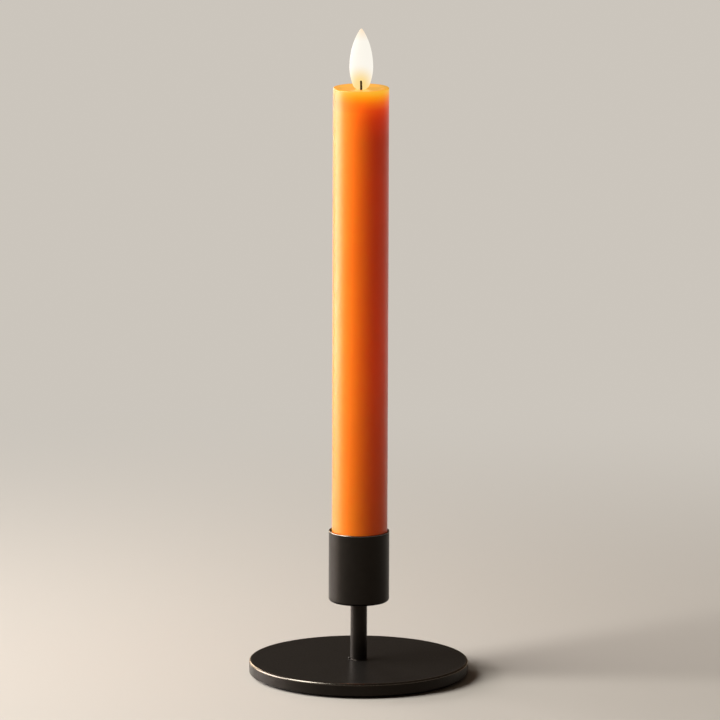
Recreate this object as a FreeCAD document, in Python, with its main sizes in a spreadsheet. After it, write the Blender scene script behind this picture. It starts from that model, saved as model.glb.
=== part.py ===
import FreeCAD, Part
import math
import os
import re
import Sketcher

# Electric taper candle standing in its metal holder.
# Origin: middle of the foot pad's underside. +Z up. The imitation wick faces -Y. Millimetres.

doc = FreeCAD.newDocument("taper_candle")
sheet = doc.addObject("Spreadsheet::Sheet", "Sizes")

SIZES = {
    # holder
    "base_diameter": 86.9,
    "plate_thickness": 4.9,
    "plate_round": 0.6,
    "plate_chamfer": 0.3,
    "pad_thickness": 1.2,
    "pad_inset": 2.5,
    "stem_diameter": 6.6,
    "stem_length": 23.9,
    "spigot_diameter": 4.0,
    "spigot_fit": 0.05,
    "spigot_recess": 0.3,
    "weld_leg": 0.8,
    "rivet_diameter": 5.6,
    "rivet_height": 0.5,
    "cup_height": 28.5,
    "cup_wall": 0.7,
    "cup_floor": 1.0,
    "cup_corner": 1.2,
    "cup_rim_round": 0.3,
    "cup_clearance": 0.3,
    "lean_share": 0.8,
    # wax and core
    "candle_diameter": 22.0,
    "candle_length": 204.8,
    "wax_wall": 1.2,
    "wax_roof": 1.8,
    "wax_lip": 0.5,
    "lip_width": 1.4,
    "dish_slope": 1.6,
    "dish_depth": 0.6,
    "core_wall": 0.9,
    "slip_fit": 0.1,
    # flame and wick
    "flame_height": 23.3,
    "flame_diameter": 9.34,
    "belly_height": 8.0,
    "tip_radius": 0.45,
    "shoulder_diameter": 6.9,
    "shoulder_height": 1.5,
    "shoulder_round": 3.2,
    "neck_diameter": 3.4,
    "neck_length": 3.2,
    "wick_diameter": 0.95,
    "wick_height": 3.1,
    "wick_gap": 0.25,
    "wick_depth": 1.2,
    "groove_gap": 0.12,
    # lamp head
    "head_height": 9.0,
    "head_wall": 1.2,
    "led_diameter": 3.0,
    "led_body": 4.3,
    "led_flange": 1.0,
    "led_flange_diameter": 3.8,
    "led_gap": 0.2,
    "led_socket_wall": 1.0,
    "lead_pitch": 2.54,
    "lead_diameter": 0.5,
    "lead_tail": 1.0,
    "board_margin": 0.8,
    "board_thickness": 1.0,
    "chip_length": 4.9,
    "chip_width": 3.9,
    "chip_height": 1.4,
    "chip_stand": 0.15,
    "chip_place": 4.0,
    "leg_pitch": 1.27,
    "leg_width": 0.4,
    "leg_reach": 1.0,
    "leg_thickness": 0.25,
    "can_diameter": 4.0,
    "can_height": 5.4,
    "can_round": 0.4,
    "can_place": 4.6,
    "can_offset": 3.0,
    "resistor_length": 3.2,
    "resistor_width": 1.6,
    "resistor_height": 0.6,
    "resistor_end": 0.5,
    "resistor_cap": 0.06,
    "resistor_place": 4.0,
    "resistor_offset": 3.5,
    "wire_diameter": 1.1,
    "wire_place": 2.0,
    "wire_offset": 1.2,
    # battery compartment
    "cell_diameter": 10.5,
    "cell_length": 44.5,
    "cell_nub": 0.8,
    "cell_nub_diameter": 3.8,
    "cell_round": 0.4,
    "cell_clearance": 0.3,
    "tube_wall": 1.2,
    "rib_thickness": 1.2,
    "ledge_thickness": 1.2,
    "ledge_hole": 6.8,
    "contact_thickness": 0.4,
    "strip_width": 3.0,
    "strip_thickness": 0.3,
    # cap and switch
    "flange_thickness": 1.6,
    "flange_inset": 0.3,
    "flange_round": 0.8,
    "cap_height": 9.0,
    "cap_wall": 1.2,
    "cap_step": 0.6,
    "recess_diameter": 13.0,
    "recess_depth": 1.4,
    "floor_thickness": 1.2,
    "switch_length": 9.4,
    "switch_width": 4.2,
    "switch_height": 3.0,
    "switch_travel": 2.5,
    "tang_length": 3.0,
    "tang_width": 2.4,
    "tang_height": 1.3,
    "knob_side": 1.8,
    "knob_proud": 0.4,
    "slide_gap": 0.2,
    "pin_diameter": 0.8,
    "cover_thickness": 1.2,
    "ring_thickness": 0.3,
    "ring_width": 1.5,
    "spring_height": 5.1,
    "spring_wire": 0.6,
    "spring_wide": 8.4,
    "spring_narrow": 5.0,
    "spring_turns": 3.0,
}

# Places and radii that follow from the sizes. Heights are counted from the table.
DERIVED = {
    # holder
    "base_radius": "base_diameter / 2",
    "plate_top": "pad_thickness + plate_thickness",
    "stem_radius": "stem_diameter / 2",
    "spigot_radius": "spigot_diameter / 2",
    "cup_bottom": "plate_top + stem_length",
    "cup_top": "cup_bottom + cup_height",
    "foot": "cup_bottom + cup_floor",
    "wax_radius": "candle_diameter / 2",
    "cup_inner": "wax_radius + cup_clearance",
    "cup_radius": "cup_inner + cup_wall",
    "candle_shift": "cup_clearance * lean_share",
    # wax and core
    "core_radius": "wax_radius - wax_wall",
    "core_inner": "core_radius - core_wall",
    "flange_top": "foot + flange_thickness",
    "lip": "foot + candle_length",
    "dish": "lip - dish_depth",
    "roof": "dish - wax_roof",
    "lip_inner": "wax_radius - wax_lip - lip_width",
    "dish_radius": "lip_inner - dish_slope",
    "dish_bend": "(dish_slope * dish_slope + dish_depth * dish_depth) / (2 * dish_depth)",
    # flame and wick
    "flame_radius": "flame_diameter / 2",
    "belly": "lip + belly_height",
    "tip": "lip + flame_height",
    "tip_start": "tip - tip_radius",
    "upper_bend": "((flame_radius - tip_radius)^2 + (tip_start - belly)^2)"
                  " / (2 * (flame_radius - tip_radius))",
    "shoulder_radius": "shoulder_diameter / 2",
    "shoulder": "lip + shoulder_height",
    "lower_bend": "((flame_radius - shoulder_radius)^2 + (belly - shoulder)^2)"
                  " / (2 * (flame_radius - shoulder_radius))",
    "neck_radius": "neck_diameter / 2",
    "neck_bottom": "roof - neck_length",
    "wick_radius": "wick_diameter / 2",
    "wick_reach": "neck_radius + wick_gap + wick_radius",
    "wick_bottom": "dish - wick_depth",
    "groove_half": "wick_radius + groove_gap",
    "groove_back": "wick_reach - groove_half",
    "wick_top": "lip + wick_height",
    "groove_top": "wick_top + groove_gap",
    # lamp head
    "head_radius": "core_inner - slip_fit",
    "head_bottom": "roof - head_height",
    "led_radius": "led_diameter / 2",
    "led_top": "neck_bottom - led_gap",
    "led_dome": "led_top - led_radius",
    "led_bottom": "led_top - led_body - led_flange",
    "led_socket": "led_radius + slip_fit",
    "flange_socket": "led_flange_diameter / 2 + slip_fit",
    "boss_radius": "flange_socket + led_socket_wall",
    "lead_radius": "lead_diameter / 2",
    "board_radius": "core_inner - board_margin",
    "board_bottom": "head_bottom - board_thickness",
    "wire_radius": "wire_diameter / 2",
    # cap and switch
    "flange_radius": "wax_radius - flange_inset",
    "floor_bottom": "foot + recess_depth",
    "floor_top": "floor_bottom + floor_thickness",
    "switch_top": "floor_top + switch_height",
    "cover_top": "switch_top + cover_thickness",
    "ring_top": "cover_top + ring_thickness",
    "cap_top": "foot + cap_height",
    "cap_radius": "core_inner - slip_fit",
    "cap_inner": "cap_radius - cap_wall",
    "ledge_radius": "cap_inner - cap_step",
    "cover_radius": "cap_inner - slip_fit",
    "knob_start": "0 - switch_travel / 2",
    "knob_bottom": "floor_bottom - knob_proud",
    "tang_bottom": "floor_top + slide_gap",
    # battery compartment
    "cell_radius": "cell_diameter / 2",
    "lower_cell": "cover_top + spring_height",
    "upper_cell": "lower_cell + cell_length",
    "contact_bottom": "upper_cell + cell_length",
    "contact_top": "contact_bottom + contact_thickness",
    "tube_inner": "cell_radius + cell_clearance",
    "tube_radius": "tube_inner + tube_wall",
    "tube_top": "contact_top + ledge_thickness",
}

LEGS_PER_SIDE = 4
POINTS_PER_TURN = 12


def fill_sheet():
    row = 0
    for name, size in SIZES.items():
        row += 1
        sheet.set(f"A{row}", name.replace("_", " "))
        sheet.set(f"B{row}", str(size))
        sheet.setAlias(f"B{row}", name)
    for name, formula in DERIVED.items():
        row += 1
        sheet.set(f"A{row}", name.replace("_", " "))
        sheet.set(f"B{row}", "=" + formula)
        sheet.setAlias(f"B{row}", name)
    doc.recompute()


def rule(words):
    """An expression in which every size is looked up in the sheet."""
    return re.sub(r"\b([a-z]\w*)\b(?!\s*\()", r"Sizes.\1", words)


def value(words):
    return float(sheet.evalExpression(rule(words)))


def new_body(name):
    body = doc.addObject("PartDesign::Body", name)
    body.Label = name
    return body


def new_sketch(body, name, role, offset="0"):
    """Sketch on one of the body's own origin planes, moved along the plane's normal."""
    sketch = body.newObject("Sketcher::SketchObject", name)
    plane = next(part for part in body.Origin.OriginFeatures if part.Role == role)
    sketch.AttachmentSupport = (plane, [""])
    sketch.MapMode = "FlatFace"
    if offset != "0":
        sketch.setExpression("AttachmentOffset.Base.z", rule(offset))
    return sketch


def bind(sketch, kind, refs, words):
    """Constraint whose value is a rule of the sheet."""
    index = sketch.addConstraint(Sketcher.Constraint(kind, *refs, value(words)))
    sketch.setExpression(f"Constraints[{index}]", rule(words))


def add_arc(sketch, start, end, bend):
    """Arc from start to end; a positive bend turns left, a negative one right."""
    chord = end.sub(start)
    radius = abs(bend)
    rise = math.sqrt(max(radius * radius - chord.Length * chord.Length / 4, 0))
    left = FreeCAD.Vector(-chord.y, chord.x, 0).normalize()
    side = 1 if bend > 0 else -1
    centre = start + chord * 0.5 + left * (rise * side)
    first, last = (start, end) if bend > 0 else (end, start)
    angles = [math.atan2(p.y - centre.y, p.x - centre.x) for p in (first, last)]
    circle = Part.Circle(centre, FreeCAD.Vector(0, 0, 1), radius)
    geo = sketch.addGeometry(Part.ArcOfCircle(circle, angles[0], angles[1]), False)
    return (geo, 1, 2) if bend > 0 else (geo, 2, 1)


def outline(sketch, corners):
    """Closed outline through (across, up) corners; a third entry bends the edge that arrives there."""
    places = [FreeCAD.Vector(value(c[0]), value(c[1]), 0) for c in corners]
    edges = []
    for k, corner in enumerate(corners):
        if len(corner) == 2:
            geo = sketch.addGeometry(Part.LineSegment(places[k - 1], places[k]), False)
            edges.append((geo, 1, 2))
        else:
            edges.append(add_arc(sketch, places[k - 1], places[k], value(corner[2])))
    for k, corner in enumerate(corners):
        geo, _, end = edges[k]
        following, start, _ = edges[(k + 1) % len(edges)]
        sketch.addConstraint(Sketcher.Constraint("Coincident", geo, end, following, start))
        if corner[0] == "0":
            sketch.addConstraint(Sketcher.Constraint("PointOnObject", geo, end, -2))
        else:
            bind(sketch, "DistanceX", (-1, 1, geo, end), corner[0])
        bind(sketch, "DistanceY", (-1, 1, geo, end), corner[1])
        if len(corner) == 3:
            bind(sketch, "Radius", (geo,), corner[2].lstrip("-"))


def circle(sketch, across, up, radius):
    place = FreeCAD.Vector(value(across), value(up), 0)
    geo = sketch.addGeometry(Part.Circle(place, FreeCAD.Vector(0, 0, 1), value(radius)), False)
    bind(sketch, "DistanceX", (-1, 1, geo, 3), across)
    bind(sketch, "DistanceY", (-1, 1, geo, 3), up)
    bind(sketch, "Radius", (geo,), radius)


def box_outline(left, right, low, high):
    return [(left, low), (right, low), (right, high), (left, high)]


def turned(name, corners):
    """Body of revolution about the upright axis."""
    body = new_body(name)
    sketch = new_sketch(body, name + "_outline", "XZ_Plane")
    outline(sketch, corners)
    turn = body.newObject("PartDesign::Revolution", name + "_turn")
    turn.Profile = sketch
    turn.ReferenceAxis = (sketch, ["V_Axis"])
    turn.Angle = 360
    doc.recompute()
    return body


def pad(body, name, level, height, draw):
    """Material from a level upwards, with the outline that draw makes."""
    sketch = new_sketch(body, name + "_outline", "XY_Plane", level)
    draw(sketch)
    feature = body.newObject("PartDesign::Pad", name)
    feature.Profile = sketch
    feature.setExpression("Length", rule(height))
    doc.recompute()
    return feature


def pocket(body, name, level, height, draw, role="XY_Plane"):
    """Cut from a level along the plane's normal; it has to take material away."""
    before = body.Shape.Volume
    sketch = new_sketch(body, name + "_outline", role, level)
    draw(sketch)
    feature = body.newObject("PartDesign::Pocket", name)
    feature.Profile = sketch
    feature.Reversed = True
    feature.setExpression("Length", rule(height))
    doc.recompute()
    if body.Shape.Volume >= before - 1e-6:
        raise RuntimeError(name + " cuts nothing")
    return feature


def lean(*bodies):
    """The loose candle leans on one side of its cup, with everything that it holds."""
    for body in bodies:
        body.setExpression("Placement.Base.x", rule("candle_shift"))


# Holder

def make_foot_pad():
    return turned("foot_pad", [
        ("0", "0"), ("base_radius - pad_inset", "0"),
        ("base_radius - pad_inset", "pad_thickness"), ("0", "pad_thickness")])


def make_base_plate():
    return turned("base_plate", [
        ("spigot_radius + spigot_fit", "pad_thickness"),
        ("base_radius - plate_chamfer", "pad_thickness"),
        ("base_radius", "pad_thickness + plate_chamfer"),
        ("base_radius", "plate_top - plate_round"),
        ("base_radius - plate_round", "plate_top", "plate_round"),
        ("spigot_radius + spigot_fit", "plate_top")])


def make_stem():
    """Rod with a spigot at each end: the lower one is welded in, the upper one is peened over."""
    return turned("stem", [
        ("0", "pad_thickness + spigot_recess"),
        ("spigot_radius", "pad_thickness + spigot_recess"),
        ("spigot_radius", "plate_top"),
        ("stem_radius + weld_leg", "plate_top"),
        ("stem_radius", "plate_top + weld_leg", "-weld_leg"),
        ("stem_radius", "cup_bottom"),
        ("spigot_radius", "cup_bottom"),
        ("spigot_radius", "foot"),
        ("rivet_diameter / 2", "foot"),
        ("0", "foot + rivet_height",
         "((rivet_diameter / 2)^2 + rivet_height^2) / (2 * rivet_height)")])


def make_candle_cup():
    inner_corner = "(cup_corner - cup_wall)"
    return turned("candle_cup", [
        ("spigot_radius + spigot_fit", "cup_bottom"),
        ("cup_radius - cup_corner", "cup_bottom"),
        ("cup_radius", "cup_bottom + cup_corner", "cup_corner"),
        ("cup_radius", "cup_top - cup_rim_round"),
        ("cup_radius - cup_rim_round", "cup_top", "cup_rim_round"),
        ("cup_inner + cup_rim_round", "cup_top"),
        ("cup_inner", "cup_top - cup_rim_round", "cup_rim_round"),
        ("cup_inner", "foot + " + inner_corner),
        ("cup_inner - " + inner_corner, "foot", "-" + inner_corner),
        ("spigot_radius + spigot_fit", "foot")])


# Wax, core and flame

def make_wax_shell():
    body = turned("wax_shell", [
        ("core_radius", "flange_top"),
        ("wax_radius", "flange_top"),
        ("wax_radius", "lip - wax_lip"),
        ("wax_radius - wax_lip", "lip", "wax_lip"),
        ("lip_inner", "lip"),
        ("dish_radius", "dish", "dish_bend"),
        ("neck_radius + slip_fit", "dish"),
        ("neck_radius + slip_fit", "roof"),
        ("core_radius", "roof")])
    pocket(body, "wick_hole", "wick_bottom", "wick_depth + dish_depth",
           lambda sketch: circle(sketch, "0", "-wick_reach", "wick_radius"))
    return body


def make_core_tube():
    return turned("core_tube", [
        ("core_inner", "flange_top"), ("core_radius", "flange_top"),
        ("core_radius", "roof"), ("core_inner", "roof")])


def make_flame_lens():
    """Solid diffusing teardrop on a peg, with a groove at the front for the wick."""
    body = turned("flame_lens", [
        ("0", "neck_bottom"), ("neck_radius", "neck_bottom"), ("neck_radius", "dish"),
        ("shoulder_radius", "shoulder", "shoulder_round"),
        ("flame_radius", "belly", "lower_bend"),
        ("tip_radius", "tip_start", "upper_bend"),
        ("0", "tip", "tip_radius")])
    pocket(body, "wick_groove", "groove_back", "flame_radius",
           lambda sketch: outline(sketch, [
               ("-groove_half", "dish"), ("groove_half", "dish"),
               ("groove_half", "groove_top - groove_half"), ("0", "groove_top", "groove_half"),
               ("-groove_half", "groove_top - groove_half", "groove_half")]),
           role="XZ_Plane")
    return body


def make_wick():
    """Imitation wick with a rounded end, set into the wax in front of the flame's foot."""
    body = turned("wick", [
        ("0", "wick_bottom"), ("wick_radius", "wick_bottom"),
        ("wick_radius", "wick_top - wick_radius"), ("0", "wick_top", "wick_radius")])
    body.setExpression("Placement.Base.y", rule("-wick_reach"))
    return body


# Lamp head

def make_head_plug():
    """Moulded plug in the end of the core tube: it holds the flame's peg and the lamp."""
    return turned("head_plug", [
        ("neck_radius + slip_fit", "roof"),
        ("neck_radius + slip_fit", "neck_bottom"),
        ("led_socket", "neck_bottom"),
        ("led_socket", "led_bottom + led_flange + slip_fit"),
        ("flange_socket", "led_bottom + led_flange + slip_fit"),
        ("flange_socket", "led_bottom"),
        ("boss_radius", "led_bottom"),
        ("boss_radius", "roof - head_wall"),
        ("head_radius - head_wall", "roof - head_wall"),
        ("head_radius - head_wall", "head_bottom"),
        ("head_radius", "head_bottom"),
        ("head_radius", "roof")])


def make_led():
    body = turned("led", [
        ("0", "led_bottom"), ("led_flange_diameter / 2", "led_bottom"),
        ("led_flange_diameter / 2", "led_bottom + led_flange"),
        ("led_radius", "led_bottom + led_flange"),
        ("led_radius", "led_dome"),
        ("0", "led_top", "led_radius")])
    tails = "board_bottom - lead_tail"

    def leads(sketch):
        for side in ("-", ""):
            circle(sketch, side + "lead_pitch / 2", "0", "lead_radius")

    pad(body, "leads", tails, "led_bottom - (" + tails + ") + led_flange / 2", leads)
    return body


def make_circuit_board():
    body = new_body("circuit_board")
    pad(body, "board", "board_bottom", "board_thickness",
        lambda sketch: circle(sketch, "0", "0", "board_radius"))

    def holes(sketch):
        for side in ("-", ""):
            circle(sketch, side + "lead_pitch / 2", "0", "lead_radius + slip_fit")

    pocket(body, "lead_holes", "board_bottom", "board_thickness", holes)
    return body


def make_control_chip():
    """Chip on the board's underside with four legs a side."""
    body = new_body("control_chip")
    level = "board_bottom - chip_stand - chip_height"
    pad(body, "package", level, "chip_height",
        lambda sketch: outline(sketch, box_outline(
            "-chip_length / 2", "chip_length / 2",
            "chip_place - chip_width / 2", "chip_place + chip_width / 2")))
    middle = "board_bottom - chip_stand - chip_height / 2"
    far = "(chip_width / 2 + leg_reach)"
    sides = []
    for k in range(LEGS_PER_SIDE):
        place = f"leg_pitch * {k - (LEGS_PER_SIDE - 1) / 2}"
        sides.append((f"({place} - leg_width / 2)", f"({place} + leg_width / 2)"))

    def legs(sketch):
        for left, right in sides:
            outline(sketch, box_outline(left, right, "chip_place - " + far, "chip_place + " + far))

    def feet(sketch):
        front, back = "chip_place - " + far, "chip_place + " + far
        for left, right in sides:
            outline(sketch, box_outline(left, right, front, front + " + leg_thickness"))
            outline(sketch, box_outline(left, right, back + " - leg_thickness", back))

    pad(body, "legs", middle, "leg_thickness", legs)
    pad(body, "feet", middle, "chip_stand + chip_height / 2", feet)
    return body


def make_capacitor():
    """Small can standing on the board's underside."""
    body = turned("capacitor", [
        ("0", "board_bottom - can_height"),
        ("can_diameter / 2 - can_round", "board_bottom - can_height"),
        ("can_diameter / 2", "board_bottom - can_height + can_round", "can_round"),
        ("can_diameter / 2", "board_bottom"), ("0", "board_bottom")])
    body.setExpression("Placement.Base.y", rule("-can_place"))
    body.setExpression("Placement.Base.x", rule("candle_shift - can_offset"))
    return body


def make_resistor():
    """Flat resistor: its two end caps stand a little proud of the middle."""
    body = new_body("resistor")
    left = "resistor_offset - resistor_length / 2"
    right = "resistor_offset + resistor_length / 2"
    low = "-resistor_place - resistor_width / 2"
    high = "-resistor_place + resistor_width / 2"
    pad(body, "middle", "board_bottom - resistor_height + resistor_cap",
        "resistor_height - 2 * resistor_cap",
        lambda sketch: outline(sketch, box_outline(
            left, right, low + " + resistor_cap", high + " - resistor_cap")))

    def ends(sketch):
        outline(sketch, box_outline(left, left + " + resistor_end", low, high))
        outline(sketch, box_outline(right + " - resistor_end", right, low, high))

    pad(body, "ends", "board_bottom - resistor_height", "resistor_height", ends)
    return body


def make_wire(name, across, up, low, high):
    body = new_body(name)
    pad(body, name + "_run", low, high + " - (" + low + ")",
        lambda sketch: circle(sketch, across, up, "wire_radius"))
    return body


# Battery compartment

def make_cell(name, level):
    shoulder = level + " + cell_length - cell_nub"
    return turned(name, [
        ("0", level), ("cell_radius - cell_round", level),
        ("cell_radius", level + " + cell_round", "cell_round"),
        ("cell_radius", shoulder + " - cell_round"),
        ("cell_radius - cell_round", shoulder, "cell_round"),
        ("cell_nub_diameter / 2", shoulder),
        ("cell_nub_diameter / 2", level + " + cell_length"), ("0", level + " + cell_length")])


def make_battery_tube():
    """Tube for the two cells, centred in the core by three ribs."""
    body = turned("battery_tube", [
        ("tube_inner", "cap_top"), ("tube_radius", "cap_top"), ("tube_radius", "tube_top"),
        ("ledge_hole / 2", "tube_top"), ("ledge_hole / 2", "contact_top"),
        ("tube_inner", "contact_top")])
    rib = pad(body, "rib", "cap_top", "tube_top - cap_top",
              lambda sketch: outline(sketch, box_outline(
                  "-(core_inner - slip_fit)", "-(tube_radius - tube_wall / 2)",
                  "-rib_thickness / 2", "rib_thickness / 2")))
    ribs = body.newObject("PartDesign::PolarPattern", "ribs")
    ribs.Originals = [rib]
    ribs.Axis = (rib.Profile[0], ["N_Axis"])
    ribs.Angle = 360
    ribs.Occurrences = 3
    body.Tip = ribs
    doc.recompute()
    return body


def make_top_contact():
    return turned("top_contact", [
        ("0", "contact_bottom"), ("cell_radius", "contact_bottom"),
        ("cell_radius", "contact_top"), ("0", "contact_top")])


def make_contact_strip():
    """Flat strip along the battery tube, from the cap's contact ring to the black wire."""
    body = new_body("contact_strip")
    pad(body, "strip", "ring_top", "tube_top - ring_top",
        lambda sketch: outline(sketch, box_outline(
            "tube_radius", "tube_radius + strip_thickness", "-strip_width / 2", "strip_width / 2")))
    return body


def make_contact_spring():
    """Conical wire spring under the lower cell, its wide end on the switch cover."""
    wide = (value("spring_wide") - value("spring_wire")) / 2
    narrow = (value("spring_narrow") - value("spring_wire")) / 2
    rise = value("spring_height - spring_wire")
    turns = value("spring_turns")
    steps = round(turns * POINTS_PER_TURN)
    points = []
    for k in range(steps + 1):
        share = k / steps
        angle = 2 * math.pi * turns * share
        radius = wide + (narrow - wide) * share
        points.append(FreeCAD.Vector(radius * math.cos(angle), radius * math.sin(angle), rise * share))
    path = Part.BSplineCurve()
    path.interpolate(points)
    line = Part.Wire([path.toShape()])
    start = path.tangent(path.FirstParameter)[0]
    ring = Part.Wire([Part.Circle(points[0], start, value("spring_wire") / 2).toShape()])
    spring = doc.addObject("Part::Feature", "contact_spring")
    spring.Shape = line.makePipeShell([ring], True, True)
    base = value("cover_top + spring_wire / 2")
    spring.Placement = FreeCAD.Placement(FreeCAD.Vector(0, 0, base), FreeCAD.Rotation())
    spring.setExpression("Placement.Base.z", rule("cover_top + spring_wire / 2"))
    return spring


# Cap and switch

def make_bottom_cap():
    body = turned("bottom_cap", [
        ("recess_diameter / 2", "foot"),
        ("flange_radius - flange_round", "foot"),
        ("flange_radius", "foot + flange_round", "flange_round"),
        ("flange_radius", "flange_top"),
        ("cap_radius", "flange_top"),
        ("cap_radius", "cap_top"),
        ("cap_inner", "cap_top"),
        ("cap_inner", "switch_top"),
        ("ledge_radius", "switch_top"),
        ("ledge_radius", "floor_top"),
        ("0", "floor_top"),
        ("0", "floor_bottom"),
        ("recess_diameter / 2", "floor_bottom")])
    reach = "(knob_side + switch_travel) / 2 + slide_gap"
    pocket(body, "knob_slot", "floor_bottom", "floor_thickness",
           lambda sketch: outline(sketch, box_outline(
               "-(" + reach + ")", reach,
               "-(knob_side / 2 + slide_gap)", "knob_side / 2 + slide_gap")))
    return body


def make_slide_switch():
    """Bought-in switch body, hollow below for its slider, with two pins on top."""
    body = new_body("slide_switch")
    pad(body, "case", "floor_top", "switch_height",
        lambda sketch: outline(sketch, box_outline(
            "-switch_length / 2", "switch_length / 2", "-switch_width / 2", "switch_width / 2")))
    reach = "(tang_length + switch_travel) / 2 + slide_gap"
    pocket(body, "slider_space", "floor_top", "tang_height + 2 * slide_gap",
           lambda sketch: outline(sketch, box_outline(
               "-(" + reach + ")", reach,
               "-(tang_width / 2 + slide_gap)", "tang_width / 2 + slide_gap")))

    def pins(sketch):
        circle(sketch, "0", "0", "pin_diameter / 2")
        circle(sketch, "switch_length / 2 - pin_diameter", "0", "pin_diameter / 2")

    pad(body, "pins", "switch_top", "cover_thickness", pins)
    return body


def make_switch_knob():
    """Slider: a tang inside the switch and a knob that stands proud of the cap's recess."""
    body = new_body("switch_knob")
    pad(body, "tang", "tang_bottom", "tang_height",
        lambda sketch: outline(sketch, box_outline(
            "knob_start - tang_length / 2", "knob_start + tang_length / 2",
            "-tang_width / 2", "tang_width / 2")))
    pad(body, "knob", "knob_bottom", "tang_bottom - knob_bottom",
        lambda sketch: outline(sketch, box_outline(
            "knob_start - knob_side / 2", "knob_start + knob_side / 2",
            "-knob_side / 2", "knob_side / 2")))
    return body


def make_switch_cover():
    body = new_body("switch_cover")
    pad(body, "disc", "switch_top", "cover_thickness",
        lambda sketch: circle(sketch, "0", "0", "cover_radius"))

    def holes(sketch):
        circle(sketch, "0", "0", "pin_diameter / 2 + slip_fit")
        circle(sketch, "switch_length / 2 - pin_diameter", "0", "pin_diameter / 2 + slip_fit")

    pocket(body, "pin_holes", "switch_top", "cover_thickness", holes)
    return body


def make_contact_ring():
    return turned("contact_ring", [
        ("cover_radius - ring_width", "cover_top"), ("cover_radius", "cover_top"),
        ("cover_radius", "ring_top"), ("cover_radius - ring_width", "ring_top")])


def make_all():
    holder = [make_foot_pad(), make_base_plate(), make_stem(), make_candle_cup()]
    capacitor = make_capacitor()
    candle = [
        make_wax_shell(), make_core_tube(), make_flame_lens(), make_wick(),
        make_head_plug(), make_led(), make_circuit_board(), make_control_chip(), make_resistor(),
        make_wire("positive_wire", "wire_place", "-wire_offset", "contact_top", "board_bottom"),
        make_wire("negative_wire", "tube_radius + strip_thickness / 2", "0", "tube_top",
                  "board_bottom"),
        make_cell("lower_cell", "lower_cell"), make_cell("upper_cell", "upper_cell"),
        make_battery_tube(), make_top_contact(), make_contact_strip(), make_contact_spring(),
        make_bottom_cap(), make_slide_switch(), make_switch_knob(), make_switch_cover(),
        make_contact_ring()]
    lean(*candle)
    doc.recompute()
    return holder + candle + [capacitor]


def write_parts(pieces):
    for thing in doc.Objects:
        bad = [word for word in thing.State if word in ("Invalid", "Error")]
        if bad:
            raise RuntimeError(f"{thing.Name} is {bad[0]}")
    for piece in pieces:
        shape = piece.Shape
        if shape.isNull() or not shape.isValid() or not shape.Solids:
            raise RuntimeError(piece.Label + " has no valid solid")
    os.makedirs("parts", exist_ok=True)
    for piece in pieces:
        piece.Shape.exportStep(os.path.join("parts", piece.Label + ".step"))
        box = piece.Shape.BoundBox
        print(f"{piece.Label}: {len(piece.Shape.Solids)} solid, {piece.Shape.Volume:.1f} mm3,"
              f" z {box.ZMin:.2f} to {box.ZMax:.2f}")


fill_sheet()
write_parts(make_all())
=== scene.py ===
import math
import bmesh
import bpy
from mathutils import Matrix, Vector


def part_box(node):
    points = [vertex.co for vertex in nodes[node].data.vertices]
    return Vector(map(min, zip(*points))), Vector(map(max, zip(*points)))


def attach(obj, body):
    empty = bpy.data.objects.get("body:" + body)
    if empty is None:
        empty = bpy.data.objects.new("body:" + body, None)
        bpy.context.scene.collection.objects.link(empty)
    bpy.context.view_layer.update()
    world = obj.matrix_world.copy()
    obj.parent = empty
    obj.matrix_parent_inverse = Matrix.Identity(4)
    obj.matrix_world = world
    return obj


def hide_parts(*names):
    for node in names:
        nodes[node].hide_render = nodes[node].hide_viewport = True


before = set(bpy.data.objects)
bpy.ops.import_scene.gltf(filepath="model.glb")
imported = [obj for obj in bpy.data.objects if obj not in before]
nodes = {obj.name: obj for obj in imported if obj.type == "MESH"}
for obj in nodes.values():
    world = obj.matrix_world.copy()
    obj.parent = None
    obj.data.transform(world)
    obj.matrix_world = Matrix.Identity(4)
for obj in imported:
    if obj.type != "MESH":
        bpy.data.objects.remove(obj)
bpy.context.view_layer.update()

scene = bpy.context.scene
bpy.ops.object.select_all(action="DESELECT")

# places that several pieces share
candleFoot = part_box("wax_shell")[0].z
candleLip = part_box("wax_shell")[1].z
candleX = (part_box("wax_shell")[0].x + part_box("wax_shell")[1].x) / 2
waxRadius = (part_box("wax_shell")[1].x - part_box("wax_shell")[0].x) / 2
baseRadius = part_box("base_plate")[1].x
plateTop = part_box("base_plate")[1].z
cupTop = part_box("candle_cup")[1].z
print("frame loaded, wax from", round(candleFoot, 4), "to", round(candleLip, 4))


# camera, lamps and floor; lengths are in metres everywhere, unless a note says otherwise

cameraSettings = {
    "distance": 3.0804,      # from the candle's axis, level
    "height": 0.7135,
    "pitch": 10.779,         # degrees below level
    "side": 0.00014,
    "roll": 0.2,             # degrees, the photograph's slight tilt
    "focalPixels": 7951.9,   # in a frame of frameWidth pixels
    "frameWidth": 720,
    "sensor": 36.0,          # millimetres
    "clip": (0.05, 60),
}


def addCamera(s):
    camera = bpy.data.cameras.new("photoCamera")
    camera.sensor_width = s["sensor"]
    camera.lens = s["focalPixels"] / s["frameWidth"] * s["sensor"]
    camera.clip_start, camera.clip_end = s["clip"]
    placed = bpy.data.objects.new("photoCamera", camera)
    placed.location = (s["side"], -s["distance"], s["height"])
    placed.rotation_euler = (math.radians(90 - s["pitch"]), 0, 0)
    placed.rotation_euler.rotate_axis("Z", math.radians(s["roll"]))
    scene.collection.objects.link(placed)
    scene.camera = placed


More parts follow.
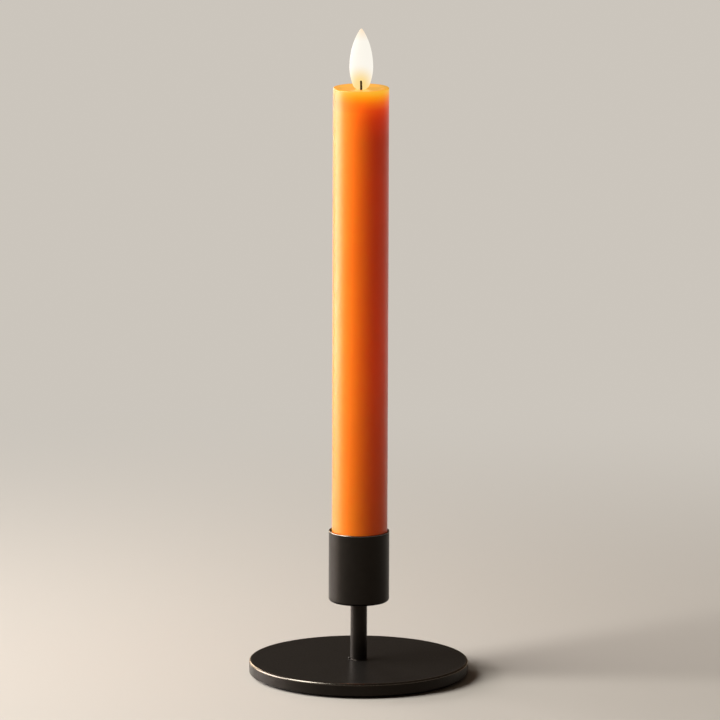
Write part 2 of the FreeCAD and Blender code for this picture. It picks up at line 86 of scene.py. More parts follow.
lampSettings = {
    # azimuth in degrees from the camera's side towards the left, level of the lamp's middle above the floor,
    # distance from the candle's axis, power in watts; every lamp looks at the candle
    "side": {"azimuth": 108, "level": 0.25, "distance": 1.0, "size": (0.80, 0.46), "power": 9.5,
             "colour": (1.0, 0.91, 0.90)},
    "low": {"azimuth": 108, "level": 0.032, "distance": 0.55, "size": (0.53, 0.048), "power": 0.67,
            "colour": (1.0, 0.86, 0.72)},
    "back": {"azimuth": 152, "level": 0.34, "distance": 1.1, "size": (0.40, 0.50), "power": 3,
             "colour": (1.0, 0.93, 0.84)},
    "key": {"azimuth": 72, "level": 0.70, "distance": 0.85, "size": (0.6, 0.7), "power": 14.5,
            "colour": (1.0, 0.96, 0.90)},
}


def addLamp(name, s):
    light = bpy.data.lights.new(name, "AREA")
    light.shape = "RECTANGLE"
    light.size, light.size_y = s["size"]
    light.energy = s["power"]
    light.color = s["colour"]
    lamp = bpy.data.objects.new(name, light)
    turn = math.radians(s["azimuth"])
    lamp.location = (-math.sin(turn) * s["distance"], -math.cos(turn) * s["distance"], s["level"])
    away = lamp.location - Vector((0, 0, candleLip / 2))
    lamp.rotation_euler = away.to_track_quat("Z", "Y").to_euler()
    lamp.visible_camera = False
    scene.collection.objects.link(lamp)


studioSettings = {
    "fill": (0.055, 0.040, 0.029),        # dim light from all round
    "backdrop": (0.60, 0.56, 0.505),      # the floor's far part, even and without shadows
    "floor": (0.66, 0.635, 0.59),         # its near part, as the camera sees it
    "floorMirrored": (0.60, 0.57, 0.52),  # the near part, as the holder and the wax mirror it
    "floorRoughness": 0.35,
    "floorBounce": (0.26, 0.10, 0.045),   # what the whole floor throws back on the object
    "floorSize": 14,
    "floorLevel": -0.0001,                # just under the foot pad, so the two never share a plane
    "floorFade": (0.10, 0.55),            # from the near part to the far part, out from the axis
}


def addWorld(s):
    world = bpy.data.worlds.new("studio")
    scene.world = world
    world.use_nodes = True
    world.node_tree.nodes["Background"].inputs["Color"].default_value = (*s["fill"], 1)


def addFloor(s):
    bpy.ops.mesh.primitive_plane_add(size=s["floorSize"], location=(0, 0, s["floorLevel"]))
    floor = bpy.context.object
    floor.name = "studioFloor"
    kit = MaterialKit("studioFloor", s["floorMirrored"], s["floorRoughness"])
    matt = kit.plainShader("ShaderNodeBsdfDiffuse", s["floor"])
    bounce = kit.plainShader("ShaderNodeBsdfDiffuse", s["floorBounce"])
    even = kit.plainShader("ShaderNodeEmission", s["backdrop"])
    # matt to the camera, with its gloss left to what the holder mirrors
    near = kit.mixShaders(kit.rays("Is Camera Ray"), kit.shader.outputs[0], matt)
    far = kit.between(kit.farFrom((0, 0, 0), (1, 1, 1)), *s["floorFade"], way="SMOOTHSTEP")
    shown = kit.mixShaders(far, near, even)
    # the camera, reflections and clear things see the floor as it is shown, and the rest is lit by its bounce
    seen = kit.rays("Is Camera Ray", "Is Glossy Ray", "Is Transmission Ray")
    kit.link(kit.mixShaders(seen, bounce, shown), kit.tree.nodes["Material Output"].inputs["Surface"])
    kit.give(floor)
    bpy.ops.object.select_all(action="DESELECT")


# finishes

noiseSpan = (0.3, 0.7)   # nearly all values of a noise lie between these


class MaterialKit:
    # one Principled material on Object coordinates, with the few nodes that the finishes here share
    def __init__(self, name, colour, roughness, metallic=0.0, specular=0.5):
        self.material = bpy.data.materials.new(name)
        self.material.use_nodes = True
        self.tree = self.material.node_tree
        self.shader = self.tree.nodes["Principled BSDF"]
        self.shader.inputs["Base Color"].default_value = (*colour, 1)
        self.shader.inputs["Roughness"].default_value = roughness
        self.shader.inputs["Metallic"].default_value = metallic
        self.shader.inputs["Specular IOR Level"].default_value = specular
        self.coords = self.tree.nodes.new("ShaderNodeTexCoord").outputs["Object"]

    def node(self, kind, **values):
        made = self.tree.nodes.new(kind)
        for key, value in values.items():
            setattr(made, key, value)
        return made

    def link(self, source, target):
        self.tree.links.new(source, target)

    def mapped(self, scale, location=(0, 0, 0)):
        place = self.node("ShaderNodeMapping")
        place.inputs["Location"].default_value = location
        place.inputs["Scale"].default_value = scale
        self.link(self.coords, place.inputs["Vector"])
        return place.outputs["Vector"]

    def noise(self, scale, detail, stretch=None):
        made = self.node("ShaderNodeTexNoise")
        made.inputs["Scale"].default_value = scale
        made.inputs["Detail"].default_value = detail
        self.link(self.mapped(stretch) if stretch else self.coords, made.inputs["Vector"])
        return made.outputs["Fac"]

    def ramp(self, source, stops, mode="LINEAR"):
        made = self.node("ShaderNodeValToRGB")
        band = made.color_ramp
        band.interpolation = mode
        while len(band.elements) < len(stops):
            band.elements.new(0.5)
        for element, (place, colour) in zip(band.elements, stops):
            element.position = place
            element.color = (*colour, 1)
        self.link(source, made.inputs["Fac"])
        return made.outputs["Color"]

    def between(self, source, low, high, toLow=0.0, toHigh=1.0, way="LINEAR"):
        made = self.node("ShaderNodeMapRange", interpolation_type=way)
        for key, value in (("From Min", low), ("From Max", high), ("To Min", toLow), ("To Max", toHigh)):
            made.inputs[key].default_value = value
        self.link(source, made.inputs["Value"])
        return made.outputs["Result"]

    def calculate(self, first, operation, second):
        made = self.node("ShaderNodeMath", operation=operation)
        for slot, value in enumerate((first, second)):
            if isinstance(value, (int, float)):
                made.inputs[slot].default_value = value
            else:
                self.link(value, made.inputs[slot])
        return made.outputs[0]

    def blend(self, amount, first, second):
        made = self.node("ShaderNodeMix", data_type="RGBA")
        self.link(amount, made.inputs["Factor"])
        for name, value in (("A", first), ("B", second)):
            socket = next(i for i in made.inputs if i.name == name and i.type == "RGBA")
            if isinstance(value, tuple):
                socket.default_value = (*value, 1)
            else:
                self.link(value, socket)
        return next(o for o in made.outputs if o.type == "RGBA")

    def height(self):
        split = self.node("ShaderNodeSeparateXYZ")
        self.link(self.coords, split.inputs[0])
        return split.outputs["Z"]

    def farFrom(self, point, scale):
        # distance from a point, after stretching
        centred = self.mapped(scale, tuple(-p * k for p, k in zip(point, scale)))
        length = self.node("ShaderNodeVectorMath", operation="LENGTH")
        self.link(centred, length.inputs[0])
        return length.outputs["Value"]

    def rays(self, *names):
        # 1 for a ray of any of these kinds, and 0 for the others
        path = self.node("ShaderNodeLightPath")
        last = path.outputs[names[0]]
        for name in names[1:]:
            last = self.calculate(last, "MAXIMUM", path.outputs[name])
        return last

    def plainShader(self, kind, colour):
        made = self.node(kind)
        made.inputs["Color"].default_value = (*colour, 1)
        return made.outputs[0]

    def mixShaders(self, amount, first, second):
        made = self.node("ShaderNodeMixShader")
        for slot, source in enumerate((amount, first, second)):
            self.link(source, made.inputs[slot])
        return made.outputs[0]

    def colour(self, source):
        self.link(source, self.shader.inputs["Base Color"])

    def rough(self, source):
        self.link(source, self.shader.inputs["Roughness"])

    def glow(self, source):
        self.link(source, self.shader.inputs["Emission Color"])
        self.shader.inputs["Emission Strength"].default_value = 1.0

    def bump(self, source, strength, distance):
        made = self.node("ShaderNodeBump")
        made.inputs["Strength"].default_value = strength
        made.inputs["Distance"].default_value = distance
        self.link(source, made.inputs["Height"])
        self.link(made.outputs["Normal"], self.shader.inputs["Normal"])

    def give(self, thing):
        thing.data.materials.clear()
        thing.data.materials.append(self.material)


waxLook = {
    "colour": (0.94, 0.236, 0.0015),
    "pale": (0.95, 0.262, 0.003),
    "cloudNoise": (60, 4, (1, 1, 0.25)),    # scale, detail and stretch
    "cloudSpan": (0.35, 0.7),
    "top": (0.40, 0.035, 0.0015),
    "topReach": (0.009, 0.001),             # below the lip, from the body's colour to the top's, which is dimmed where the painted glow takes over
    "roughness": 0.46,
    "roughNoise": (350, 3),
    "roughSpread": (-0.04, 0.06),
    "coat": 1.0,
    "coatRoughness": 0.34,
    "coatIor": 1.3,
    "glossTint": (1.0, 0.75, 0.35),
    "bumpNoise": (220, 5, (1, 1, 0.5)),
    "bump": (0.06, 0.0003),                 # strength and height
    "scatterWeight": 0.5,
    "scatterRadius": (1.0, 0.30, 0.08),
    "scatter": 0.0015,
    # painted glow: the lamp's light in the wax near the lip, and lower down a deep red that lifts the shaded
    # side; millimetres below the lip, and the light that comes out there
    "glow": [(0, (0.88, 0.46, 0.048)), (0.9, (0.90, 0.45, 0.020)), (2.6, (0.92, 0.28, 0.0)),
             (5.0, (0.77, 0.11, 0.0)), (7.9, (0.55, 0.024, 0.0)), (11.9, (0.37, 0.004, 0.0)),
             (20, (0.22, 0.0, 0.0)), (45, (0.175, 0.0, 0.0)), (110, (0.155, 0, 0)), (175, (0.04, 0, 0))],
    "glowDepth": 175,
    "dishPaintedGlow": (0.88, 0.50, 0.085),
    "dishEdge": (0.0004, 0.0014),           # in from the wax's outside, where the dish's own painted glow begins
}


def makeWax(s):
    kit = MaterialKit("orangeWax", s["colour"], s["roughness"])
    body = kit.ramp(kit.noise(*s["cloudNoise"]), list(zip(s["cloudSpan"], (s["colour"], s["pale"]))))
    topLow, topHigh = (candleLip - reach for reach in s["topReach"])
    kit.colour(kit.blend(kit.between(kit.height(), topLow, topHigh), body, s["top"]))
    kit.rough(kit.between(kit.noise(*s["roughNoise"]), *noiseSpan,
                          *(s["roughness"] + spread for spread in s["roughSpread"])))
    kit.bump(kit.noise(*s["bumpNoise"]), *s["bump"])
    shader = kit.shader
    shader.inputs["Coat Weight"].default_value = s["coat"]
    shader.inputs["Coat Roughness"].default_value = s["coatRoughness"]
    shader.inputs["Coat IOR"].default_value = s["coatIor"]
    shader.inputs["Specular Tint"].default_value = (*s["glossTint"], 1)
    shader.inputs["Subsurface Weight"].default_value = s["scatterWeight"]
    shader.inputs["Subsurface Radius"].default_value = s["scatterRadius"]
    shader.inputs["Subsurface Scale"].default_value = s["scatter"]
    # the wax glows with painted light, by depth below the lip, and more in the dish
    depth = kit.between(kit.height(), candleLip, candleLip - s["glowDepth"] / 1000)
    glow = kit.ramp(depth, [(level / s["glowDepth"], colour) for level, colour in s["glow"]])
    dishOuter, dishInner = (waxRadius - edge for edge in s["dishEdge"])
    inside = kit.between(kit.farFrom((candleX, 0, 0), (1, 1, 0)), dishOuter, dishInner)
    kit.glow(kit.blend(inside, glow, s["dishPaintedGlow"]))
    return kit


flameLook = {
    "colour": (0.035, 0.032, 0.028),
    "roughness": 0.5,
    "specular": 0.12,
    "foot": (0.95, 0.70, 0.28),
    "body": (0.96, 0.92, 0.83),
    "bodySpan": (0.10, 0.80),      # shares of the height from the lip to the flame's end
    "tip": (0.97, 0.77, 0.55),
    # the yellow round the wick: its middle from the lip's middle, and its reach after stretching
    "spotPlace": (-0.0004, -0.0042, 0.0015),
    "spotStretch": (1.1, 0.6, 0.88),
    "spot": 0.0078,
    "spotCore": 0.0012,
    "bumpNoise": (900, 2),
    "bump": (0.05, 0.0001),
}


def makeFlame(s):
    kit = MaterialKit("litFlame", s["colour"], s["roughness"], specular=s["specular"])
    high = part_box("flame_lens")[1].z
    up = kit.between(kit.height(), candleLip, high)
    low, top = s["bodySpan"]
    glow = kit.ramp(up, [(0.0, s["foot"]), (low, s["body"]), (top, s["body"]), (1.0, s["tip"])])
    x, y, z = s["spotPlace"]
    near = kit.farFrom((candleX + x, y, candleLip + z), s["spotStretch"])
    spot = kit.ramp(kit.between(near, s["spot"], s["spotCore"]), [(0.0, (0, 0, 0)), (1.0, (1, 1, 1))], "EASE")
    kit.glow(kit.blend(spot, glow, s["foot"]))
    kit.bump(kit.noise(*s["bumpNoise"]), *s["bump"])
    return kit


coatLook = {
    "colour": (0.0050, 0.0047, 0.0043),
    "worn": (0.0080, 0.0075, 0.0068),
    "wornNoise": (240, 5),
    "wornSpan": (0.3, 0.75),
    "roughness": 0.33,
    "roughNoise": (1500, 3),
    "roughSpread": 0.04,
    "specular": 0.22,
    "glossTint": (1.0, 0.86, 0.72),
    "sheen": 0.02,
    "sheenRoughness": 0.35,
    "sheenTint": (1.0, 0.90, 0.80),
    "bumpNoise": (2200, 3),
    "bump": (0.06, 0.00005),
    # painted highlight: a lighter, metallic and glossier band on the plate's top edge and the cup's rim, where
    # the lamps' highlight lines fall
    "basePaintedHighlight": (0.18, 0.165, 0.145),
    "basePaintedHighlightIn": 0.0006,                # in from the plate's outside
    "basePaintedHighlightLevels": (0.0009, 0.0007),  # below the plate's top
    "cupPaintedHighlight": (0.30, 0.275, 0.235),
    "cupPaintedHighlightLevels": (0.0004, 0.0003),   # below the cup's rim
    "paintedHighlightRoughness": 0.24,
    "paintedHighlightSoftness": 0.0003,
}


def makePowderCoat(name, s, edge, paintedHighlightRadius, paintedHighlightLevels):
    # the painted highlight band, lighter, metallic and glossier, lies outside the given radius and comes in
    # between two levels
    kit = MaterialKit(name, s["colour"], s["roughness"], specular=s["specular"])
    kit.shader.inputs["Sheen Weight"].default_value = s["sheen"]
    kit.shader.inputs["Sheen Roughness"].default_value = s["sheenRoughness"]
    kit.shader.inputs["Sheen Tint"].default_value = (*s["sheenTint"], 1)
    kit.shader.inputs["Specular Tint"].default_value = (*s["glossTint"], 1)
    plain = kit.ramp(kit.noise(*s["wornNoise"]), list(zip(s["wornSpan"], (s["colour"], s["worn"]))))
    outside = kit.between(kit.farFrom((0, 0, 0), (1, 1, 0)), paintedHighlightRadius - s["paintedHighlightSoftness"], paintedHighlightRadius)
    above = kit.between(kit.height(), *paintedHighlightLevels)
    band = kit.calculate(outside, "MULTIPLY", above)
    kit.colour(kit.blend(band, plain, edge))
    kit.link(band, kit.shader.inputs["Metallic"])
    grain = kit.between(kit.noise(*s["roughNoise"]), *noiseSpan,
                        s["roughness"] - s["roughSpread"], s["roughness"] + s["roughSpread"])
    highlightGloss = kit.calculate(band, "MULTIPLY", s["roughness"] - s["paintedHighlightRoughness"])
    kit.rough(kit.calculate(grain, "SUBTRACT", highlightGloss))
    awayFromHighlight = kit.calculate(1, "SUBTRACT", band)
    kit.bump(kit.calculate(kit.noise(*s["bumpNoise"]), "MULTIPLY", awayFromHighlight), *s["bump"])
    return kit


wickLook = {
    "colour": (0.030, 0.017, 0.008),
    "patches": ((0.018, 0.010, 0.005), (0.06, 0.032, 0.014)),
    "patchNoise": (2500, 3),
    "roughness": 0.8,
    "bumpNoise": (4000, 2),
    "bump": (0.5, 0.0001),
}

foamLook = {
    "colour": (0.02, 0.02, 0.02),
    "patches": ((0.012, 0.012, 0.012), (0.035, 0.035, 0.035)),
    "patchNoise": (1800, 2),
    "roughness": 0.9,
    "bumpNoise": (3000, 2),
    "bump": (0.6, 0.0002),
}


def makeMottled(name, s):
    kit = MaterialKit(name, s["colour"], s["roughness"])
    kit.colour(kit.ramp(kit.noise(*s["patchNoise"]), list(zip(noiseSpan, s["patches"]))))
    kit.bump(kit.noise(*s["bumpNoise"]), *s["bump"])
    return kit


mouldedLook = {
    "patchNoise": (300, 3),
    "bumpNoise": (1800, 2),
    "bump": (0.15, 0.0001),
    # colour, how bright its patches are against it, and roughness
    "whiteMoulding": ((0.78, 0.77, 0.72), 0.94, 0.45),
    "darkMoulding": ((0.03, 0.03, 0.032), 1.4, 0.5),
    "lampResin": ((0.85, 0.72, 0.38), 0.95, 0.12),
    "greenBoard": ((0.02, 0.16, 0.05), 0.8, 0.35),
    "redInsulation": ((0.45, 0.02, 0.015), 0.9, 0.4),
    "blackInsulation": ((0.02, 0.02, 0.02), 1.3, 0.4),
    "cellSleeve": ((0.10, 0.12, 0.15), 0.85, 0.3),
}


def makeMoulded(name, s):
    colour, spread, roughness = s[name]
    patches = (colour, tuple(c * spread for c in colour))
    return makeMottled(name, {**s, "colour": colour, "patches": patches, "roughness": roughness})


nickelLook = {
    "colour": (0.62, 0.60, 0.56),
    "roughness": 0.3,
    "roughNoise": (500, 4, (1, 1, 8)),   # fine lines round the piece
    "roughRange": (0.22, 0.4),
}


def makeNickel(s):
    kit = MaterialKit("nickelPlate", s["colour"], s["roughness"], metallic=1.0)
    kit.rough(kit.between(kit.noise(*s["roughNoise"]), *noiseSpan, *s["roughRange"]))
    return kit


# modelling

closeEnough = 0.00002   # how near its expected place a face or an edge has to lie
flatWeight = 100        # how strongly large faces keep their own normals


def openPiece(name):
    # the primitive just added goes to the world's origin with its place in its mesh, and opens for editing
    piece = bpy.context.object
    piece.name = name
    bpy.ops.object.transform_apply(location=True, rotation=True, scale=True)
    bpy.ops.object.mode_set(mode="EDIT")
    return piece


def addRod(name, sides, radius, low, high, x=0.0, y=0.0):
    bpy.ops.mesh.primitive_cylinder_add(vertices=sides, radius=radius, depth=high - low,
                                        location=(x, y, (high + low) / 2), end_fill_type="NGON")
    return openPiece(name)


def addDisc(name, sides, radius, level, x=0.0):
    bpy.ops.mesh.primitive_circle_add(vertices=sides, radius=radius, fill_type="NGON", location=(x, 0, level))
    return openPiece(name)


def pick(piece, kind, test):
    bpy.ops.mesh.select_mode(type=kind)
    bpy.ops.mesh.select_all(action="DESELECT")
    shape = bmesh.from_edit_mesh(piece.data)
    for item in {"VERT": shape.verts, "EDGE": shape.edges, "FACE": shape.faces}[kind]:
        if test(item):
            item.select_set(True)
    shape.select_flush_mode()
    bmesh.update_edit_mesh(piece.data)


def pickFlats(piece, direction, level):
    # the flat faces at a level that look up (1) or down (-1)
    pick(piece, "FACE", lambda face: face.normal.z * direction > 0.9
         and abs(face.calc_center_median().z - level) < closeEnough)


def extrudeUp(amount):
    bpy.ops.mesh.extrude_region_move(TRANSFORM_OT_translate={"value": (0, 0, amount)})


def extrudeRing(level, radius, nextLevel, nextRadius, x=0.0):
    # draws the picked ring up to its next level and size
    extrudeUp(nextLevel - level)
    share = nextRadius / radius
    bpy.ops.transform.resize(value=(share, share, 1), center_override=(x, 0, nextLevel))


def roundRing(piece, radius, level, amount, segments, x=0.0):
    pick(piece, "EDGE", lambda e: all(abs(math.hypot(v.co.x - x, v.co.y) - radius) < closeEnough
                                      and abs(v.co.z - level) < closeEnough for v in e.verts))
    bpy.ops.mesh.bevel(offset=amount, segments=segments, profile=0.5)


def faceOutwards():
    bpy.ops.mesh.select_all(action="SELECT")
    bpy.ops.mesh.normals_make_consistent(inside=False)


def applyUnevenness(piece, s, group=""):
    clouds = bpy.data.textures.new(piece.name + "Uneven", "CLOUDS")
    clouds.noise_scale = s["unevenSize"]
    uneven = piece.modifiers.new("uneven", "DISPLACE")
    uneven.texture = clouds
    uneven.texture_coords = "LOCAL"
    uneven.strength = s["unevenness"]
    uneven.vertex_group = group
    bpy.ops.object.modifier_apply(modifier=uneven.name)


def applySmoothing(piece, levels):
    surface = piece.modifiers.new("smooth", "SUBSURF")
    surface.levels = surface.render_levels = levels
    bpy.ops.object.modifier_apply(modifier=surface.name)


def holdFlats(piece):
    # large faces keep their own normals, so only the rounded edges are shaded round
    flats = piece.modifiers.new("flats", "WEIGHTED_NORMAL")
    flats.weight = flatWeight
    flats.keep_sharp = True
    bpy.ops.object.modifier_apply(modifier=flats.name)


def closePiece(piece, node, kit, smoothing=0, angle=40):
    bpy.ops.object.mode_set(mode="OBJECT")
    if smoothing:
        applySmoothing(piece, smoothing)
    bpy.ops.object.shade_smooth_by_angle(angle=math.radians(angle))
    if not smoothing:
        holdFlats(piece)
    kit.give(piece)
    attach(piece, "candle_in_holder")
    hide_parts(node)
    bpy.ops.object.select_all(action="DESELECT")
    print(piece.name, "made,", len(piece.data.polygons), "faces")


waxShape = {
    "sides": 128,
    "lipRound": 0.0005,
    "lipSegments": 6,
    "lipWidth": 0.0014,
    "dishSlope": 0.0016,
    "dishDepth": 0.0006,
    "innerRound": 0.0003,    # at the lip's inner edge, and twice as much where the dish begins
    "innerSegments": 4,
    "roof": 0.0018,
    "wall": 0.0012,
    "pegHole": 0.0018,
    "holeRound": 0.0001,
    "holeSegments": 2,
    "wallRings": 40,
    "footRound": 0.0003,
    "footSegments": 3,
    "unevenness": 0.00010,
    "unevenSize": 0.018,
}


def makeWaxColumn(s, kit):
    lipInner = waxRadius - s["lipRound"] - s["lipWidth"]
    dishRadius = lipInner - s["dishSlope"]
    dish = candleLip - s["dishDepth"]
    roof = dish - s["roof"]
    bore = waxRadius - s["wall"]
    wax = addRod("waxColumn", s["sides"], waxRadius, candleFoot, candleLip, candleX)
    pickFlats(wax, 1, candleLip)
    bpy.ops.mesh.inset(thickness=waxRadius - lipInner)
    bpy.ops.mesh.inset(thickness=s["dishSlope"])
    bpy.ops.transform.translate(value=(0, 0, -s["dishDepth"]))
    bpy.ops.mesh.inset(thickness=dishRadius - s["pegHole"])
    extrudeUp(-s["roof"])
    bpy.ops.mesh.delete(type="ONLY_FACE")
    pickFlats(wax, -1, candleFoot)
    bpy.ops.mesh.inset(thickness=s["wall"])
    extrudeUp(roof - candleFoot)
    bpy.ops.mesh.inset(thickness=bore - s["pegHole"])
    bpy.ops.mesh.delete(type="ONLY_FACE")
    # the hole's two halves meet here
    bpy.ops.mesh.select_all(action="SELECT")
    bpy.ops.mesh.remove_doubles(threshold=closeEnough / 2)
    roundRing(wax, waxRadius, candleLip, s["lipRound"], s["lipSegments"], candleX)
    roundRing(wax, lipInner, candleLip, s["innerRound"], s["innerSegments"], candleX)
    roundRing(wax, dishRadius, dish, s["innerRound"] * 2, s["innerSegments"], candleX)
    roundRing(wax, waxRadius, candleFoot, s["footRound"], s["footSegments"], candleX)
    roundRing(wax, s["pegHole"], dish, s["holeRound"], s["holeSegments"], candleX)
    # rings down the outer wall, for its unevenness
    tall = (candleLip - candleFoot) / 2
    outer = (waxRadius + bore) / 2
    pick(wax, "EDGE", lambda e: abs(e.verts[0].co.z - e.verts[1].co.z) > tall
         and math.hypot(e.verts[0].co.x - candleX, e.verts[0].co.y) > outer)
    bpy.ops.mesh.subdivide(number_cuts=s["wallRings"])
    bpy.ops.object.mode_set(mode="OBJECT")
    applyUnevenness(wax, s)
    closePiece(wax, "wax_shell", kit, smoothing=1)


flameShape = {
    "sides": 72,
    "pegBottom": 0.2302,
    "pegRadius": 0.0017,
    # millimetres above the candle's lip, and the radius there
    "rings": [(-0.6, 1.70), (-0.52, 1.95), (-0.25, 2.44), (0.15, 2.87), (0.75, 3.24), (1.5, 3.48), (2.8, 3.89),
              (4.4, 4.29), (6.2, 4.59), (8.0, 4.68), (10.0, 4.61), (12.2, 4.38), (14.4, 4.01), (16.6, 3.46),
              (18.4, 2.82), (20.2, 2.04), (21.5, 1.36), (22.4, 0.84), (22.95, 0.48), (23.2, 0.24)],
    "tip": 23.28,
    # the groove for the wick, from the wick's middle out through the flame's front
    "grooveHalf": 0.0006,
    "grooveFoot": 0.0006,      # below the lip
    "grooveTop": 0.0033,       # above the lip
    "grooveLength": 0.0048,
    "grooveSpare": 0.0004,     # the cutter's extra length below
    "grooveRounds": ((0.98, 8), (0.5, 4)),   # top and back: shares of the half width, and segments
    "creaseAngle": 50,
}


def makeFlameBulb(s, kit):
    level, radius = s["pegBottom"], s["pegRadius"]
    flame = addDisc("flameBulb", s["sides"], radius, level, candleX)
    for up, wide in s["rings"]:
        nextLevel, nextRadius = candleLip + up / 1000, wide / 1000
        extrudeRing(level, radius, nextLevel, nextRadius, candleX)
        level, radius = nextLevel, nextRadius
    extrudeUp(candleLip + s["tip"] / 1000 - level)
    bpy.ops.mesh.merge(type="CENTER")
    faceOutwards()
    bpy.ops.object.mode_set(mode="OBJECT")
    applySmoothing(flame, 1)
    bpy.ops.object.select_all(action="DESELECT")

    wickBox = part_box("wick")
    wickY = (wickBox[0].y + wickBox[1].y) / 2
    half, spare = s["grooveHalf"], s["grooveSpare"]
    low = candleLip - s["grooveFoot"]
    high = candleLip + s["grooveTop"]
    middle = (low + high) / 2
    bpy.ops.mesh.primitive_cube_add(
        size=1, location=(candleX, wickY - s["grooveLength"] / 2, middle - spare / 2),
        scale=(half * 2, s["grooveLength"] + half * 2, high - low + spare))
    cutter = openPiece("grooveCutter")
    (topRound, topSegments), (backRound, backSegments) = s["grooveRounds"]
    # the two long edges on top, then the sharp ones behind the wick
    pick(cutter, "EDGE", lambda e: abs(e.verts[0].co.y - e.verts[1].co.y) > half
         and min(v.co.z for v in e.verts) > middle)
    bpy.ops.mesh.bevel(offset=half * topRound, segments=topSegments, profile=0.5)
    pick(cutter, "EDGE", lambda e: min(v.co.y for v in e.verts) > wickY
         and e.calc_face_angle(0) > 0.5)
    bpy.ops.mesh.bevel(offset=half * backRound, segments=backSegments, profile=0.5)
    bpy.ops.object.mode_set(mode="OBJECT")
    bpy.ops.object.select_all(action="DESELECT")
    flame.select_set(True)
    bpy.context.view_layer.objects.active = flame
    groove = flame.modifiers.new("groove", "BOOLEAN")
    groove.object = cutter
    groove.solver = "EXACT"
    bpy.ops.object.modifier_apply(modifier=groove.name)
    bpy.data.objects.remove(cutter)
    closePiece(flame, "flame_lens", kit, angle=s["creaseAngle"])


wickShape = {
    "sides": 24,
    "strands": 3,
    "rings": 18,
    "twist": 20,           # degrees from ring to ring
    "valley": 0.86,
    "valleySides": 0.45,   # how much of the valley its two neighbours get, as a power
    "lean": -0.00010,
    "waist": 0.93,
    "end": (0.9, 0.62),    # the size of the last two rings
    "creaseAngle": 80,
}


def makeWickStub(s, kit):
    low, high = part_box("wick")
    wickX, wickY = (low.x + high.x) / 2, (low.y + high.y) / 2
    wick = addRod("wickStub", s["sides"], (high.x - low.x) / 2, low.z, high.z, wickX, wickY)
    tall = (high.z - low.z) / 2
    pick(wick, "EDGE", lambda e: abs(e.verts[0].co.z - e.verts[1].co.z) > tall)
    bpy.ops.mesh.subdivide(number_cuts=s["rings"])
    apart = s["sides"] // s["strands"]
    turn = 2 * math.pi / s["sides"]
    beside = s["valley"] ** s["valleySides"]
    for offset, share in ((0, s["valley"]), (1, beside), (apart - 1, beside)):
        pick(wick, "VERT", lambda v: round(math.atan2(v.co.y - wickY, v.co.x - wickX) / turn) % apart == offset)
        bpy.ops.transform.resize(value=(share, share, 1), center_override=(wickX, wickY, 0))
    step = (high.z - low.z) / (s["rings"] + 1)
    for ring in range(s["rings"] + 2):
        level = low.z + ring * step
        pick(wick, "VERT", lambda v: abs(v.co.z - level) < step / 3)
        bpy.ops.transform.rotate(value=math.radians(s["twist"] * ring), orient_axis="Z",
                                 center_override=(wickX, wickY, level))
        above = max(0.0, (level - candleLip) / (high.z - candleLip))
        share = 1 - (1 - s["waist"]) * math.sin(above * math.pi)
        if ring >= s["rings"]:
            share = s["end"][ring - s["rings"]]
        bpy.ops.transform.resize(value=(share, share, 1), center_override=(wickX, wickY, level))
        bpy.ops.transform.translate(value=(s["lean"] * above ** 2, 0, 0))
    closePiece(wick, "wick", kit, smoothing=1, angle=s["creaseAngle"])


plateShape = {
    "sides": 192,
    "topRound": 0.0008,
    "topSegments": 8,
    "footChamfer": 0.0003,
    "footSegments": 2,
}


def makeHolderBase(s, kit):
    low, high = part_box("base_plate")
    base = addRod("holderBase", s["sides"], high.x, low.z, high.z)
    roundRing(base, high.x, high.z, s["topRound"], s["topSegments"])
    roundRing(base, high.x, low.z, s["footChamfer"], s["footSegments"])
    closePiece(base, "base_plate", kit)


stemShape = {
    "sides": 64,
    "diameter": 0.0066,
    "beadHeight": 0.00045,
    "beadWidth": 0.00040,
    "beadRings": 5,
    "beadHollow": 1.5,       # how hollow the weld's outside is, as a power
    "unevenness": 0.0002,
    "unevenSize": 0.0022,
    "unevenTo": 0.0018,      # above the plate
    "plainFrom": 0.002,      # above this the rod is left straight
    "nub": 0.00072,
    "nubSides": (20, 12),
    "nubTurn": 92,           # degrees from the camera's side towards the left
    "nubOut": 0.3,           # its middle out of the rod and above the plate, in its own radii
    "nubUp": 0.5,
    "nubStretch": (0.9, 1.2, 0.8),
    "creaseAngle": 60,
}


def makeHolderStem(s, kit):
    # the rod as seen between the plate and the cup, with the small uneven weld at its foot
    radius = s["diameter"] / 2
    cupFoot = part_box("candle_cup")[0].z
    level, wide = plateTop, radius + s["beadWidth"]
    stem = addDisc("holderStem", s["sides"], wide, level)
    for ring in range(1, s["beadRings"] + 1):
        share = ring / s["beadRings"] * math.pi / 2
        nextLevel = plateTop + s["beadHeight"] * math.sin(share)
        nextWide = radius + s["beadWidth"] * (1 - math.sin(share)) ** s["beadHollow"]
        extrudeRing(level, wide, nextLevel, nextWide)
        level, wide = nextLevel, nextWide
    extrudeUp(plateTop + s["plainFrom"] - level)
    extrudeUp(cupFoot - plateTop - s["plainFrom"])
    turn = math.radians(s["nubTurn"])
    away = radius + s["nub"] * s["nubOut"]
    segments, rings = s["nubSides"]
    bpy.ops.mesh.primitive_uv_sphere_add(
        segments=segments, ring_count=rings, radius=s["nub"],
        location=(-math.sin(turn) * away, -math.cos(turn) * away, plateTop + s["nub"] * s["nubUp"]))
    bpy.ops.transform.resize(value=s["nubStretch"])
    faceOutwards()
    bpy.ops.object.mode_set(mode="OBJECT")
    bead = stem.vertex_groups.new(name="bead")
    bead.add([v.index for v in stem.data.vertices
              if plateTop + closeEnough / 2 < v.co.z < plateTop + s["unevenTo"]], 1.0, "REPLACE")
    applyUnevenness(stem, s, bead.name)
    closePiece(stem, "stem", kit, angle=s["creaseAngle"])


cupShape = {
    "sides": 128,
    "wall": 0.0007,
    "rimRound": 0.0003,
    "rimSegments": 5,
    "footRound": 0.0012,
    "footSegments": 8,
    "floor": 0.001,
}


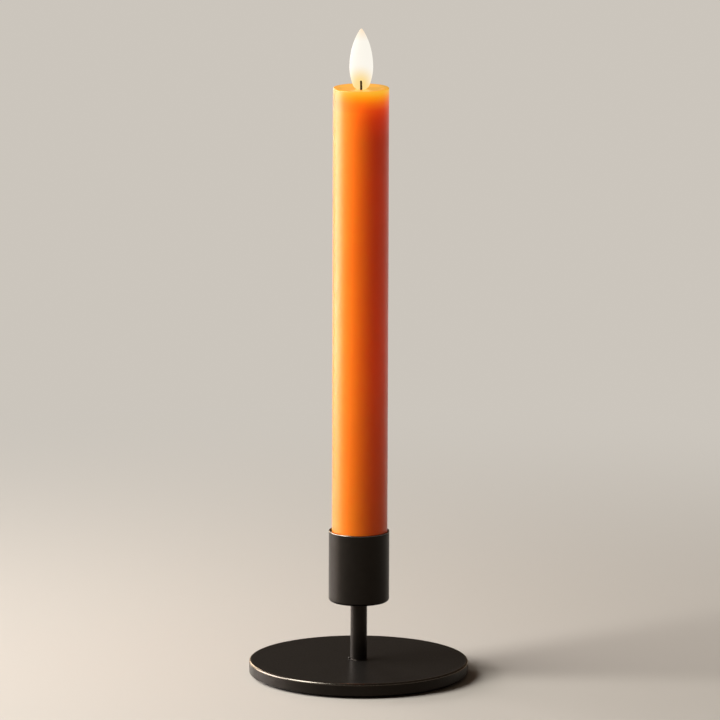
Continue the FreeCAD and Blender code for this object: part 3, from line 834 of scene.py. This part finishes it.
def makeHolderCup(s, kit):
    low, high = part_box("candle_cup")
    radius = high.x
    cup = addRod("holderCup", s["sides"], radius, low.z, high.z)
    pickFlats(cup, 1, high.z)
    bpy.ops.mesh.inset(thickness=s["wall"])
    extrudeUp(low.z + s["floor"] - high.z)
    roundRing(cup, radius, low.z, s["footRound"], s["footSegments"])
    roundRing(cup, radius, high.z, s["rimRound"], s["rimSegments"])
    roundRing(cup, radius - s["wall"], high.z, s["rimRound"], s["rimSegments"])
    closePiece(cup, "candle_cup", kit)


addCamera(cameraSettings)
for lampName, lampValues in lampSettings.items():
    addLamp(lampName, lampValues)
addWorld(studioSettings)
addFloor(studioSettings)
print("studio ready")

waxFinish = makeWax(waxLook)
flameFinish = makeFlame(flameLook)
wickFinish = makeMottled("darkWick", wickLook)
white = makeMoulded("whiteMoulding", mouldedLook)
dark = makeMoulded("darkMoulding", mouldedLook)
nickel = makeNickel(nickelLook)
# the plate's top edge and the cup's rim carry the painted highlight band
baseCoat = makePowderCoat("baseCoat", coatLook, coatLook["basePaintedHighlight"], baseRadius - coatLook["basePaintedHighlightIn"],
                          [plateTop - below for below in coatLook["basePaintedHighlightLevels"]])
cupCoat = makePowderCoat("cupCoat", coatLook, coatLook["cupPaintedHighlight"], 0,
                         [cupTop - below for below in coatLook["cupPaintedHighlightLevels"]])
finishes = {
    "wax_shell": waxFinish, "flame_lens": flameFinish, "wick": wickFinish,
    "foot_pad": makeMottled("blackFoam", foamLook),
    "base_plate": baseCoat, "stem": cupCoat, "candle_cup": cupCoat,
    "core_tube": white, "head_plug": white, "battery_tube": white, "bottom_cap": white, "switch_cover": white,
    "led": makeMoulded("lampResin", mouldedLook),
    "circuit_board": makeMoulded("greenBoard", mouldedLook),
    "control_chip": dark, "resistor": dark, "slide_switch": dark, "switch_knob": dark,
    "capacitor": nickel, "top_contact": nickel, "contact_strip": nickel, "contact_spring": nickel,
    "contact_ring": nickel,
    "positive_wire": makeMoulded("redInsulation", mouldedLook),
    "negative_wire": makeMoulded("blackInsulation", mouldedLook),
    "lower_cell": makeMoulded("cellSleeve", mouldedLook),
}
finishes["upper_cell"] = finishes["lower_cell"]
for nodeName, kit in finishes.items():
    kit.give(nodes[nodeName])
print("finishes given to", len(finishes), "nodes")

makeHolderBase(plateShape, baseCoat)
makeHolderStem(stemShape, cupCoat)
makeHolderCup(cupShape, cupCoat)
makeWaxColumn(waxShape, waxFinish)
makeFlameBulb(flameShape, flameFinish)
makeWickStub(wickShape, wickFinish)

scene.view_settings.view_transform = "Standard"
